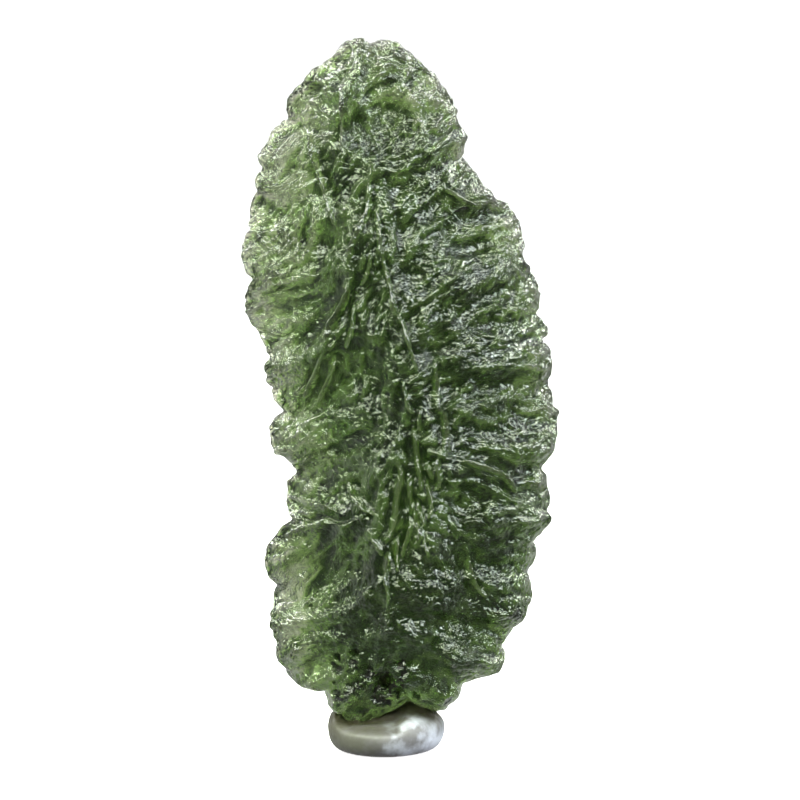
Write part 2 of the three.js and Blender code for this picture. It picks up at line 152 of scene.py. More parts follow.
def node_arrays(name):
    """A CAD node's points in millimetres, with shared points merged, and its triangles."""
    shape = bmesh.new()
    shape.from_mesh(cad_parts[name].data)
    bmesh.ops.remove_doubles(shape, verts=shape.verts, dist=1e-7)
    bmesh.ops.triangulate(shape, faces=shape.faces)
    points = np.array([v.co[:] for v in shape.verts]) / MM
    corners = np.array([[v.index for v in f.verts] for f in shape.faces])
    shape.free()
    return points, corners


def edges_of(corners):
    sides = corners.shape[1]
    pairs = np.concatenate([corners[:, [i, (i + 1) % sides]] for i in range(sides)])
    return np.unique(np.sort(pairs, axis=1), axis=0)


def averaged(values, edges, rounds, share=0.6):
    """Values on the points, evened out with those of their neighbours."""
    count = np.bincount(edges.ravel(), minlength=len(values)).clip(1)[:, None]
    for _ in range(rounds):
        total = np.zeros_like(values)
        for column in range(values.shape[1]):
            total[:, column] += np.bincount(edges[:, 0], values[edges[:, 1], column], len(values))
            total[:, column] += np.bincount(edges[:, 1], values[edges[:, 0], column], len(values))
        values = values + share * (total / count - values)
    return values


def grid_of(points, cell):
    """The points sorted into cubic cells, to find those near a place."""
    low = points.min(axis=0)
    places = np.floor((points - low) / cell).astype(int)
    counts = places.max(axis=0) + 1
    keys = places[:, 0] + counts[0] * (places[:, 1] + counts[1] * places[:, 2])
    starts = np.concatenate([[0], np.cumsum(np.bincount(keys, minlength=counts.prod()))])
    order = np.argsort(keys, kind="stable")
    return {"low": low, "cell": cell, "counts": counts, "order": order, "starts": starts}


def points_near(grid, centre, reach):
    """The points of the cells that a ball touches."""
    low, cell, counts = grid["low"], grid["cell"], grid["counts"]
    starts, order = grid["starts"], grid["order"]
    first = np.floor((centre - reach - low) / cell).astype(int).clip(0)
    last = np.minimum(np.floor((centre + reach - low) / cell).astype(int), counts - 1)
    runs = []
    for z in range(first[2], last[2] + 1):
        for y in range(first[1], last[1] + 1):
            row = counts[0] * (y + counts[1] * z)
            runs.append(order[starts[row + first[0]]:starts[row + last[0] + 1]])
    return np.concatenate(runs)


def nearest_of(points, places):
    """For each place, which point is nearest."""
    tree = KDTree(len(points))
    for i, point in enumerate(points):
        tree.insert(point, i)
    tree.balance()
    return np.array([tree.find(place)[1] for place in places])


def unit(vectors):
    return vectors / np.linalg.norm(vectors, axis=-1, keepdims=True).clip(1e-9)


def normals_of(points, quads):
    across = points[quads[:, 2]] - points[quads[:, 0]]
    along = points[quads[:, 3]] - points[quads[:, 1]]
    face_normals = np.cross(across, along)
    normals = np.zeros_like(points)
    for corner in range(4):
        for axis in range(3):
            normals[:, axis] += np.bincount(quads[:, corner], face_normals[:, axis], len(points))
    return unit(normals)


# How many waves make up the swells of a surface, and how much their lengths differ
WAVES = 14
WAVE_SPREAD = (0.7, 1.4)


def swells(points, wavelength, seed):
    """Even, smooth, unordered hills and dales between about -1 and 1."""
    rng = np.random.default_rng(seed)
    ways = unit(rng.normal(size=(WAVES, 3))) * (2 * math.pi / wavelength)
    ways = ways * rng.uniform(*WAVE_SPREAD, (WAVES, 1))
    phases = rng.uniform(0, 2 * math.pi, WAVES)
    return np.sin(points @ ways.T + phases).sum(axis=1) / math.sqrt(WAVES)


def read_off(pairs, keys):
    """The values at keys between given pairs of key and value."""
    pairs = sorted(pairs)
    return np.interp(keys, [p[0] for p in pairs], [p[1] for p in pairs])


def eased(values, low, high):
    """0 up to low, 1 from high on, and a soft step between them."""
    t = np.clip((values - low) / (high - low), 0, 1)
    return t * t * (3 - 2 * t)


# The spine from which the ribs leave on both sides: path of [x, z]
SPINE = [
    (-2.2, 40.6), (-1.5, 37.4), (-0.6, 33.7), (0.1, 29.4), (1.0, 24.4),
    (1.6, 19.4), (1.3, 14.4), (0.6, 10.1), (0.4, 6.0),
]

# How far the rim is from the spine, by height
HALF_WIDTHS = [
    (2.0, 3.0), (5.0, 6.0), (10.0, 8.0), (20.0, 8.8),
    (30.0, 8.8), (36.0, 7.0), (40.0, 5.5), (44.0, 2.5),
]

# By height, the turn of the ribs from straight down, in degrees, beside the spine and at the rim
LEFT_TURNS = [(4, 25, 55), (12, 20, 62), (25, 14, 60), (33, 12, 62), (38, 8, 75), (44, 20, 95)]
RIGHT_TURNS = [
    (4, 20, 50), (12, 30, 70), (17, 60, 85), (22, 110, 96),
    (28, 145, 108), (36, 150, 115), (44, 150, 110),
]

# How soon the ribs take up the rim's turn, and where they start and end running straight over it
TURN_POWER = 0.75
OVER_RIM = (0.45, 0.85)

# How the ribs wander: most degrees, length of their waves, seed
TWIST = 14
TWIST_WAVES = (7.0, 3)


def flow_of(points, normals, twist):
    """The way the etched ribs run at each point: like the barbs of a feather, and over the rim."""
    x, z = points[:, 0], points[:, 2]
    front = np.where(normals[:, 1] < 0, 1.0, -1.0)
    off = x - read_off([(b, a) for a, b in SPINE], z)
    side = np.where(off > 0, 1.0, -1.0)
    out = np.clip(np.abs(off) / read_off(HALF_WIDTHS, z), 0, 1) ** TURN_POWER
    turn = np.empty(len(points))
    for turns, mask in ((LEFT_TURNS, side < 0), (RIGHT_TURNS, side > 0)):
        by_spine = read_off([(t[0], t[1]) for t in turns], z[mask])
        by_rim = read_off([(t[0], t[2]) for t in turns], z[mask])
        turn[mask] = by_spine + (by_rim - by_spine) * out[mask]
    turn += twist
    over_rim = eased(1 - np.abs(normals[:, 1]), *OVER_RIM)
    turn = np.radians(turn + (90 - turn) * over_rim)
    down = np.array([0.0, 0.0, -1.0])
    down_along = unit(down - normals * (normals @ down)[:, None])
    outwards = np.cross(normals, down_along) * (side * front)[:, None]
    return unit(np.cos(turn)[:, None] * down_along + np.sin(turn)[:, None] * outwards)


# The scoops that etching has cut: how many, seed, half lengths, half widths, depths, how far they
# stray from the ribs' way in degrees, and how much deeper their far end is
SCOOPS = {
    "ribs": (330, 21, (1.5, 3.2), (0.42, 0.80), (0.20, 0.50), 11, 0.3),
    "barbs": (1100, 5, (0.8, 2.0), (0.30, 0.60), (0.14, 0.38), 15, 0.3),
    "pits": (240, 12, (0.22, 0.40), (0.20, 0.34), (0.15, 0.35), 60, 0.5),
    "dimples": (1800, 8, (0.50, 1.1), (0.28, 0.44), (0.08, 0.22), 18, 0.5),
    "wrinkles": (9500, 6, (0.26, 0.60), (0.15, 0.26), (0.10, 0.24), 26, 0.5),
}

# How many places are tried for each scoop, and how alike two normals on one face are
SCOOP_TRIES = 6
SAME_FACE = 0.2


def scoop_out(skin, kind, wanted):
    """How deep each point lies in the deepest of many shallow scoops of a kind, drawn out along
    the ribs. Where two scoops meet they leave a sharp crest."""
    count, seed, lengths, widths, depths, stray, spoon = SCOOPS[kind]
    rng = np.random.default_rng(seed)
    deep = np.zeros(len(skin["points"]))
    picks = rng.integers(0, len(skin["points"]), count * SCOOP_TRIES)
    picks = picks[rng.random(len(picks)) < wanted[picks]][:count]
    for pick in picks:
        half_length = rng.uniform(*lengths)
        half_width = rng.uniform(*widths)
        depth = rng.uniform(*depths)
        turn = math.radians(rng.normal(0, stray))
        centre, normal, flow = skin["points"][pick], skin["normals"][pick], skin["flow"][pick]
        across = np.cross(normal, flow)
        along = math.cos(turn) * flow + math.sin(turn) * across
        across = np.cross(normal, along)
        near = points_near(skin["grid"], centre, half_length)
        apart = skin["points"][near] - centre
        u = apart @ along / half_length
        v = apart @ across / half_width
        same_face = (skin["normals"][near] @ normal) > SAME_FACE
        bowl = depth * np.clip(1 - u * u - v * v, 0, 1) * (1 + spoon * u)
        deep[near] = np.maximum(deep[near], np.where(same_face, bowl, 0))
    return deep


def smooth_path(path, steps=10):
    """Points along a smooth curve through a path of [x, z]."""
    p = np.array([path[0], *path, path[-1]], float)
    made = []
    for before, start, end, after in zip(p, p[1:], p[2:], p[3:]):
        for t in np.linspace(0, 1, steps, endpoint=False):
            made.append(
                start
                + 0.5 * (end - before) * t
                + (before - 2.5 * start + 2 * end - 0.5 * after) * t**2
                + 0.5 * (3 * start - before - 3 * end + after) * t**3
            )
    made.append(p[-1])
    return np.array(made)


# A band along a path: how many half widths it is felt, between which parts of its length an end
# fades, its width at an end and what it gains from there, and where the face turns away from it
BAND_REACH = 2.5
BAND_FADE = (-0.02, 0.2)
BAND_WIDTHS = (0.45, 0.55)
BAND_FACING = (0.0, 0.3)
FAR_OFF = 1e9


def along_path(skin, path, half_width, face):
    """How much each point belongs to a soft band along a path on one face, from 0 to 1."""
    chain = smooth_path(path)
    reach = BAND_REACH * half_width
    x, z = skin["points"][:, 0], skin["points"][:, 2]
    (left, low), (right, high) = chain.min(axis=0) - reach, chain.max(axis=0) + reach
    in_box = (x > left) & (x < right) & (z > low) & (z < high)
    close = np.nonzero(in_box & (face * skin["normals"][:, 1] > 0))[0]
    points = skin["points"][close][:, [0, 2]]
    nearest = np.full(len(points), FAR_OFF)
    place = np.zeros(len(points))
    for i, (a, b) in enumerate(zip(chain[:-1], chain[1:])):
        way = b - a
        t = np.clip((points - a) @ way / (way @ way), 0, 1)
        d = np.linalg.norm(points - a - t[:, None] * way, axis=1)
        closer = d < nearest
        nearest[closer] = d[closer]
        place[closer] = ((i + t) / (len(chain) - 1))[closer]
    ends = eased(np.minimum(place, 1 - place), *BAND_FADE)
    facing = eased(face * skin["normals"][close, 1], *BAND_FACING)
    width = half_width * (BAND_WIDTHS[0] + BAND_WIDTHS[1] * ends)
    band = np.zeros(len(x))
    band[close] = ends * facing * np.exp(-((nearest / width) ** 2))
    return band


# The front's side of the stone, as the sign of a normal's y
FRONT = -1

# Smooth raised strands on the front, read off the photograph: height, half width, path of [x, z]
FRONT_STRANDS = [
    (0.45, 0.20, [(-2.55, 41.6), (-2.60, 39.9), (-2.75, 37.4)]),
    (0.30, 0.26, [(-4.70, 38.7), (-4.30, 36.5), (-3.60, 34.3), (-3.10, 32.6)]),
    (0.30, 0.22, [(-1.06, 36.0), (-1.06, 34.3), (-1.45, 33.3), (-2.00, 32.0), (-2.22, 31.1)]),
    (0.30, 0.20, [(-0.60, 34.2), (-0.45, 33.2), (-0.34, 32.0), (-0.46, 31.5)]),
    (0.40, 0.17, [(-0.90, 31.7), (-0.95, 31.0), (-1.11, 30.3), (-1.34, 29.7), (-1.61, 29.4)]),
    (0.50, 0.20,
     [(-0.18, 31.4), (-0.04, 30.5), (0.20, 29.7), (0.37, 29.0), (0.43, 28.2), (0.53, 27.7)]),
    (0.42, 0.20, [(0.64, 27.8), (1.03, 27.2), (1.25, 26.5), (1.60, 25.4), (1.95, 24.2)]),
    (0.45, 0.24, [(-2.33, 29.5), (-2.55, 28.6), (-2.93, 27.8), (-3.37, 26.9), (-3.65, 26.0)]),
    (0.32, 0.18, [(-2.00, 28.3), (-2.00, 27.2), (-2.16, 26.4), (-2.50, 25.4)]),
    (0.40, 0.24, [(-3.80, 25.4), (-4.50, 23.6), (-5.00, 22.1)]),
    (0.35, 0.20, [(-3.00, 24.9), (-3.70, 23.2), (-4.20, 21.9)]),
    (0.32, 0.17, [(0.95, 23.9), (1.23, 22.7), (1.37, 22.1), (1.75, 21.7)]),
    (0.42, 0.22,
     [(3.00, 25.2), (3.04, 23.7), (3.11, 22.2), (3.49, 21.6), (3.59, 20.6), (3.56, 19.4)]),
    (0.30, 0.17, [(2.13, 22.0), (1.98, 21.3), (2.03, 20.6)]),
    (0.48, 0.19,
     [(1.60, 21.0), (1.79, 20.1), (1.86, 19.2), (1.98, 18.3), (2.13, 17.4), (2.17, 17.0)]),
    (0.30, 0.17, [(2.31, 18.9), (2.64, 18.1), (2.93, 17.6)]),
    (0.42, 0.26, [(3.02, 19.1), (3.20, 18.3), (3.30, 17.6), (2.95, 16.9)]),
    (0.40, 0.19, [(2.35, 17.9), (2.59, 17.1), (2.72, 16.4), (2.70, 15.7), (2.55, 15.3)]),
    (0.34, 0.18, [(1.51, 17.8), (1.42, 17.1), (1.52, 16.3), (1.69, 15.7)]),
    (0.36, 0.30,
     [(0.66, 18.8), (0.94, 18.1), (0.76, 17.3), (0.62, 16.3), (0.56, 15.4), (0.28, 14.1)]),
    (0.38, 0.19, [(1.86, 16.5), (2.03, 15.8), (2.26, 15.3), (2.36, 14.8)]),
    (0.38, 0.20, [(1.72, 15.8), (1.88, 15.1), (2.12, 14.5), (2.19, 14.1)]),
    (0.34, 0.16, [(1.58, 15.0), (1.37, 14.1), (1.13, 13.5), (0.98, 12.8)]),
    (0.34, 0.17, [(0.86, 14.2), (0.66, 13.5), (0.66, 12.8), (0.75, 12.3), (0.68, 11.9)]),
    (0.36, 0.19,
     [(0.36, 13.4), (0.04, 12.8), (-0.05, 12.1), (0.00, 11.4), (0.14, 10.5), (0.10, 8.6)]),
    (0.30, 0.20, [(-0.75, 14.1), (-0.47, 13.6), (-0.17, 12.9)]),
    (0.30, 0.14, [(2.28, 14.0), (2.60, 13.1)]),
    (0.45, 0.22, [(-2.30, 17.3), (-1.88, 16.4), (-1.37, 15.8), (-0.60, 15.45)]),
    (0.40, 0.26, [(-6.00, 15.9), (-4.60, 15.6), (-3.30, 15.5)]),
    (0.40, 0.26, [(4.60, 18.9), (5.80, 18.4), (7.20, 17.7), (8.10, 16.4)]),
    (0.20, 0.12, [(6.70, 25.7), (8.00, 25.6)]),
    (0.20, 0.12, [(7.00, 24.6), (8.10, 24.5)]),
    (0.34, 0.20, [(5.00, 12.6), (5.15, 11.6), (5.60, 10.7), (6.20, 10.0)]),
    (0.36, 0.22, [(2.40, 37.4), (3.30, 37.9), (4.00, 38.4)]),
    (0.30, 0.22, [(3.60, 35.3), (4.60, 34.6), (5.60, 34.2)]),
]

# Channels on the front: depth, half width, how much lighter or darker their green is painted, the
# dark ones as painted shade in the hollows, path of [x, z]
FRONT_CHANNELS = [
    (0.30, 0.70, 0.35, [(-3.30, 41.9), (-3.30, 39.5), (-3.50, 37.3)]),
    (0.35, 0.55, 0.10, [(-5.00, 37.0), (-4.30, 35.2), (-3.70, 33.5), (-3.30, 32.0)]),
    (0.40, 0.34, -0.8,
     [(-0.30, 36.4), (0.30, 35.5), (0.75, 33.9), (1.03, 32.5), (0.92, 30.7), (0.86, 29.3)]),
    (0.40, 0.32, -0.9, [(0.86, 29.3), (1.20, 28.5), (1.75, 27.4), (2.00, 26.2)]),
    (0.40, 0.26, -0.9, [(-1.01, 32.5), (-1.45, 31.8), (-1.78, 31.2), (-1.78, 29.9), (-1.56, 29.3)]),
    (0.45, 0.34, -0.9,
     [(-2.55, 30.5), (-2.93, 29.7), (-3.20, 28.8), (-3.95, 27.8), (-4.75, 26.3), (-5.3, 24.4)]),
    (0.35, 0.26, -0.8, [(-3.65, 31.0), (-4.30, 30.3), (-4.42, 29.6), (-5.00, 28.6)]),
    (0.30, 0.18, -0.7, [(-2.22, 28.3), (-2.44, 27.4), (-2.60, 26.5), (-3.10, 25.0)]),
    (0.40, 0.30, -0.9, [(1.20, 30.2), (1.75, 30.1), (2.40, 30.2)]),
    (0.40, 0.26, -0.8, [(-1.10, 37.1), (0.20, 36.9), (1.40, 37.0), (2.60, 37.6)]),
    (0.30, 0.55, 0.30, [(3.10, 28.9), (3.30, 27.0), (3.10, 25.5)]),
    (0.28, 0.34, 0.15, [(5.20, 26.7), (7.00, 26.7), (9.40, 26.4)]),
    (0.28, 0.34, 0.15, [(5.00, 25.1), (7.00, 25.2), (9.20, 25.4)]),
    (0.30, 0.80, -0.2, [(4.40, 17.2), (5.60, 16.9), (6.50, 16.1)]),
    (0.30, 0.80, -0.1, [(-5.40, 14.4), (-3.40, 14.1), (-1.60, 13.7)]),
    (0.45, 0.20, -1.0,
     [(-5.90, 15.3), (-5.00, 14.8), (-3.90, 15.3), (-2.90, 15.0), (-1.70, 15.5), (-0.70, 15.1)]),
    (0.25, 0.24, -0.8, [(-0.60, 17.6), (-0.95, 16.0), (-1.15, 14.4)]),
    (0.30, 0.16, -0.9, [(1.22, 21.0), (1.32, 19.6), (1.42, 18.2), (1.20, 17.2)]),
    (0.28, 0.16, -0.9, [(2.25, 19.8), (2.32, 18.6), (2.45, 17.9)]),
    (0.30, 0.20, -0.8, [(4.05, 21.0), (4.30, 19.2), (4.15, 17.4)]),
    (0.26, 0.14, -0.8, [(1.10, 16.6), (1.20, 15.4), (1.05, 14.6)]),
    (0.28, 0.24, -0.7, [(4.40, 18.1), (5.80, 17.6), (6.90, 17.0)]),
    (0.32, 0.22, -0.6, [(4.65, 12.7), (4.80, 11.6), (5.20, 10.5)]),
]

# How wide a strand's crest and the grooves beside it are, in half widths of the strand
CREST_WIDTH = 0.52
GROOVE_WIDTH = 1.8

# How a strand rises, the painted light on it and the painted shade in its grooves, and how smooth
# strands and channels are
STRAND_RISE = 0.9
GROOVE_DEPTH = 0.6
STRAND_LIGHT = 2.6
GROOVE_SHADE = 0.8
STRAND_SMOOTH = 0.7
CHANNEL_SMOOTH = 0.45

# The pitted bowl near the top, and how much darker it is painted, as painted shade in the hollow
BOWL_MIDDLE = (0.0, 38.7)
BOWL_SIZES = (2.4, 2.2)
BOWL_DEPTH = 0.3
BOWL_EDGE = 0.8
BOWL_SHADE = -1.3

# Painted light and shade on the front's glass, as lighter and darker areas: lightness, middle [x,
# z], half sizes
PAINTED_FRONT_SHADES = [
    (0.8, (-5.4, 36.5), (3.2, 6.5)),
    (1.0, (-6.4, 9.5), (2.4, 5.5)),
    (-2.0, (0.8, 7.5), (5.5, 7.0)),
    (-0.8, (4.6, 26.0), (5.0, 12.0)),
    (-1.3, (5.5, 10.0), (4.5, 8.0)),
    (-0.6, (-0.5, 26.0), (3.0, 9.0)),
]

# Holes near the foot: middle [x, z], half sizes, depth
FOOT_HOLES = [
    ((-0.06, 4.6), (0.30, 0.52), 0.9),
    ((0.75, 3.9), (0.16, 0.34), 0.6),
    ((1.85, 3.6), (0.30, 0.34), 0.8),
    ((-1.95, 6.6), (0.34, 0.26), 0.5),
    ((-3.15, 5.5), (0.26, 0.24), 0.5),
    ((1.5, 5.9), (0.22, 0.14), 0.4),
]

# Small holes among them: how many, seed, area in x and z, half heights, how much wider, depths
SMALL_HOLES = 75
SMALL_HOLE_SEED = 31
SMALL_HOLE_AREA = ((-3.3, 1.3), (3.1, 6.3))
SMALL_HOLE_SIZES = (0.11, 0.22)
SMALL_HOLE_WIDTHS = (1, 1.8)
SMALL_HOLE_DEPTHS = (0.15, 0.35)
HOLE_EDGE = 1.3

# What an oval gives away from its face, and how far a face turns before it ends
OFF_FACE = 9.0
FACE_END = 0.1


def oval(skin, middle, sizes, face):
    """The squared distance from an oval's middle, as 1 on its edge, and far off the face."""
    across = (skin["points"][:, 0] - middle[0]) / sizes[0]
    up = (skin["points"][:, 2] - middle[1]) / sizes[1]
    return np.where(face * skin["normals"][:, 1] > FACE_END, across**2 + up**2, OFF_FACE)


def holes(skin):
    """How deep the holes near the foot are, at each point."""
    rng = np.random.default_rng(SMALL_HOLE_SEED)
    wanted = list(FOOT_HOLES)
    (left, right), (low, high) = SMALL_HOLE_AREA
    for _ in range(SMALL_HOLES):
        size = rng.uniform(*SMALL_HOLE_SIZES)
        place = (rng.uniform(left, right), rng.uniform(low, high))
        sizes = (size * rng.uniform(*SMALL_HOLE_WIDTHS), size)
        wanted.append((place, sizes, rng.uniform(*SMALL_HOLE_DEPTHS)))
    deep = np.zeros(len(skin["points"]))
    for middle, sizes, depth in wanted:
        deep = np.maximum(deep, depth * eased(HOLE_EDGE - oval(skin, middle, sizes, FRONT), 0, 1))
    return deep


def thickness_of(points, cell=0.8):
    """How thick the stone is from front to back, at each point."""
    seen = points[:, [0, 2]]
    places = np.floor((seen - seen.min(axis=0)) / cell).astype(int)
    key = places[:, 0] + (places[:, 0].max() + 1) * places[:, 1]
    front = np.full(key.max() + 1, FAR_OFF)
    back = np.full(key.max() + 1, -FAR_OFF)
    np.minimum.at(front, key, points[:, 1])
    np.maximum.at(back, key, points[:, 1])
    return (back - front)[key]


# Where the upper part of the stone begins, whose relief is bolder
UPPER = (11, 23)

# Rough and plain patches: length of their waves and seed, and where they start and end
PATCH_WAVES = (4.0, 11)
PATCH_EDGES = (-0.7, 0.5)

# Where the rim starts and ends, by how far the surface is turned to the side
RIM = (0.45, 0.95)

# How far the skin is raised before the scoops cut it, most that strands raise it, the barbs' share
LIFT = 0.18
MOST_RAISED = 0.25
BARB_SHARE = 0.8

# How deep a rib is where its valley starts and ends, and a barb where it smooths the wrinkles
VALLEY = (0.10, 0.50)
BARB_VALLEY = (0.1, 0.35)

# How far smooth strands and channels calm the relief, and the most they do
CALM_GAIN = 1.1
CALM_MOST = 0.8

# The broad relief low down and in the upper part, and what the rim and soft areas take away
BROAD_PARTS = (0.5, 0.5)
BROAD_RIM = 0.75
BROAD_SOFT = 0.4

# The fine relief low down and in the upper part or rough patches, and what the rim takes away
FINE_PARTS = (0.8, 0.2)
FINE_PATCHES = 0.6
FINE_RIM = 0.5

# The tone of the green between 0, dark, and 1, pale. Besides its mean it carries painted light and
# shade: paler on raised parts, at the rim and where the glass is thin, darker in valleys and where
# it is thick
TONE = 0.52
TONE_BY_SHADE = 0.35
TONE_BY_HEIGHT = 2.2
TONE_IN_VALLEYS = 0.7
TONE_AT_RIM = 0.5
TONE_WHERE_THIN = 0.35
TONE_BY_THICKNESS = 0.55
THICKNESSES = (1.5, 7)
LEAST_TONE = 0.2
HEIGHT_SMOOTHING = 40

# How much darker holes are painted, as painted shade, and between which depths
HOLE_SHADE = 0.9
HOLE_SHADE_DEPTHS = (0.05, 0.3)

# How much more finely pitted the rim and the bowl are
PITTED_RIM = 0.4
PITTED_BOWL = 0.3


def smooth_skin():
    """The stone's solid as an even skin, with the way the ribs run on it, its quads and edges."""
    points, quads = remeshed(*node_arrays("moldavite"), STONE_VOXEL)
    edges = edges_of(quads)
    points = averaged(points, edges, STONE_SMOOTHING)
    facing = eased(np.abs(normals_of(points, quads)[:, 1:2]), *FACE_FACING)
    facing = averaged(facing, edges, FACING_SMOOTHING)
    points = averaged(points, edges, FACE_SMOOTHING, FACE_SHARE * facing)
    normals = unit(averaged(normals_of(points, quads), edges, NORMAL_SMOOTHING))
    flow = flow_of(points, normals, TWIST * swells(points, *TWIST_WAVES))
    grid = grid_of(points, GRID_CELL)
    return {"points": points, "normals": normals, "flow": flow, "grid": grid}, quads, edges


def front_forms(skin, bowl):
    """What the front's forms do at each point: how far they raise it, how smooth they leave it,
    how much lighter or darker they paint its green as painted light and shade, and how soft the
    ribs of its light areas are."""
    features = -BOWL_DEPTH * bowl
    smooth = np.zeros(len(bowl))
    shade = BOWL_SHADE * bowl
    soft = np.zeros(len(bowl))
    # Painted light and shade over the listed areas of the front
    for lightness, middle, sizes in PAINTED_FRONT_SHADES:
        inside = eased(1 - oval(skin, middle, sizes, FRONT), 0.0, 1.0)
        shade += lightness * inside
        soft = np.maximum(soft, inside * (lightness > 0))
    for depth, half_width, lightness, path in FRONT_CHANNELS:
        band = along_path(skin, path, half_width, FRONT)
        features -= depth * band
        smooth = np.maximum(smooth, CHANNEL_SMOOTH * band)
        shade += lightness * band
    for height, half_width, path in FRONT_STRANDS:
        band = along_path(skin, path, CREST_WIDTH * half_width, FRONT)
        beside = along_path(skin, path, GROOVE_WIDTH * half_width, FRONT) - band
        features += height * (STRAND_RISE * band - GROOVE_DEPTH * beside)
        smooth = np.maximum(smooth, STRAND_SMOOTH * band)
        shade += STRAND_LIGHT * band - GROOVE_SHADE * beside
    return features, smooth, shade, soft


def make_stone():
    """The stone, with each point's tone of green, which carries painted light and shade, and how
    finely pitted it is.
    """
    skin, quads, edges = smooth_skin()
    points, normals = skin["points"], skin["normals"]
    upper = eased(points[:, 2], *UPPER)
    patchy = eased(swells(points, *PATCH_WAVES), *PATCH_EDGES)
    rim = eased(1 - np.abs(normals[:, 1]), *RIM)
    bowl = eased(1 - oval(skin, BOWL_MIDDLE, BOWL_SIZES, FRONT), 0.0, BOWL_EDGE)
    features, smooth, shade, soft = front_forms(skin, bowl)
    foot_holes = holes(skin)

    evenly = np.ones(len(points))
    busy = 0.5 + 0.5 * np.maximum(upper, patchy)
    ribs = scoop_out(skin, "ribs", evenly)
    barbs = scoop_out(skin, "barbs", evenly)
    pits = scoop_out(skin, "pits", bowl)
    dimples = scoop_out(skin, "dimples", evenly)
    wrinkles = scoop_out(skin, "wrinkles", busy)

    calm = 1 - np.clip(smooth * CALM_GAIN, 0, CALM_MOST)
    broad = calm * (BROAD_PARTS[0] + BROAD_PARTS[1] * upper)
    broad = broad * (1 - BROAD_RIM * rim) * (1 - BROAD_SOFT * soft)
    rough = np.maximum(upper, FINE_PATCHES * patchy)
    finer = calm * (FINE_PARTS[0] + FINE_PARTS[1] * rough) * (1 - FINE_RIM * rim)
    valley = eased(ribs, *VALLEY)
    crest = (1 - 0.5 * eased(barbs, *BARB_VALLEY)) * (1 - 0.5 * valley)
    relief = LIFT + np.minimum(features, MOST_RAISED) - (ribs + BARB_SHARE * barbs) * broad
    relief -= (dimples + wrinkles * crest) * finer + pits + foot_holes
    points = points + normals * relief[:, None]

    # Painted light and shade in the tone: raised parts, the rim and thin glass are painted paler,
    # and valleys and thick glass darker
    height = relief - averaged(relief[:, None], edges, HEIGHT_SMOOTHING)[:, 0]
    tone = TONE + TONE_BY_SHADE * shade + TONE_BY_HEIGHT * height
    tone = tone - TONE_IN_VALLEYS * valley * calm + TONE_AT_RIM * rim
    tone += TONE_WHERE_THIN - TONE_BY_THICKNESS * eased(thickness_of(points), *THICKNESSES)
    tone = LEAST_TONE + (1 - LEAST_TONE) * np.clip(tone, 0, 1)
    # The holes are painted dark, as painted shade
    tone = np.clip(tone - HOLE_SHADE * eased(foot_holes, *HOLE_SHADE_DEPTHS), 0, 1)
    pitted = np.clip(calm * busy * crest + PITTED_RIM * rim + PITTED_BOWL * bowl, 0, 1)
    thin_points, triangles = thinned(points, quads, STONE_TRIANGLES)
    stone = to_object("moldavite_stone", thin_points, triangles)
    nearest = nearest_of(points, thin_points)
    for name, values in (("tone", tone), ("pitted", pitted)):
        stone.data.attributes.new(name, "FLOAT", "POINT").data.foreach_set("value", values[nearest])
    return stone


def make_pad(stone):
    """The squeezed pad of putty, with how near each point lies to the stone, which places its
    painted contact shadow, also over the dent. It gives way in front of the foot, rises behind it
    and between its two toes, and keeps finger marks."""
    points, quads = remeshed(*node_arrays("putty_pad"), PAD_VOXEL)
    edges = edges_of(quads)
    points = averaged(points, edges, PAD_SMOOTHING)
    normals = unit(averaged(normals_of(points, quads), edges, PAD_NORMAL_SMOOTHING))
    relief = sum(rise * swells(points, wavelength, seed) for rise, wavelength, seed in PAD_SWELLS)
    points = points + normals * (relief * eased(points[:, 2], *PAD_FOOT))[:, None]
    x, y = points[:, 0], points[:, 1]
    crown = eased(points[:, 2], *PAD_CROWN)
    ahead = eased(-y, *PAD_DENT_FRONT)
    ahead = ahead * eased(PAD_DENT_REACH - np.abs(x - PAD_DENT_MIDDLE), 0, PAD_DENT_EDGE)
    behind = eased(y, *PAD_LIP_BACK) * eased(-x, *PAD_LIP_LEFT)
    points[:, 2] += crown * (PAD_LIP * behind - PAD_DENT * ahead)
    points = averaged(points, edges, PAD_DENT_SMOOTHING)
    surface = BVHTree.FromObject(stone, bpy.context.evaluated_depsgraph_get())
    near = np.zeros(len(points))
    for i, point in enumerate(points):
        place, _, _, distance = surface.find_nearest(Vector(point) * MM, PAD_SHADOW_REACH * MM)
        if place is None:
            continue
        near[i] = 1 - distance / (PAD_SHADOW_REACH * MM)
        if distance < PAD_GRIP * MM:
            points[i] = point + (np.array(place) / MM - point) * PAD_PRESS
    # The dent in front of the foot gets painted contact shadow too
    near = np.maximum(near, PAD_DENT_SHADOW * crown * ahead)
    points = averaged(points, edges, PAD_LAST_SMOOTHING)
    putty = to_object("putty", points, quads)
    putty.data.attributes.new("near", "FLOAT", "POINT").data.foreach_set("value", near)
    return putty


def new_material(name):
    """A material with its nodes, their links and its shader."""
    material = bpy.data.materials.new(name)
    material.use_nodes = True
    tree = material.node_tree
    return material, tree.nodes, tree.links, tree.nodes["Principled BSDF"]


def set_values(node, values):
    for name, value in values.items():
        node.inputs[name].default_value = value


def noise(nodes, links, scale, detail):
    coords = nodes.new("ShaderNodeTexCoord")
    texture = nodes.new("ShaderNodeTexNoise")
    set_values(texture, {"Scale": scale, "Detail": detail})
    links.new(coords.outputs["Object"], texture.inputs["Vector"])
    return texture.outputs["Fac"]


def attribute(nodes, name):
    reader = nodes.new("ShaderNodeAttribute")
    reader.attribute_name = name
    return reader.outputs["Fac"]


def mapped(nodes, links, value, values):
    """A value taken from one range to another."""
    spread = nodes.new("ShaderNodeMapRange")
    set_values(spread, values)
    links.new(value, spread.inputs["Value"])
    return spread.outputs["Result"]


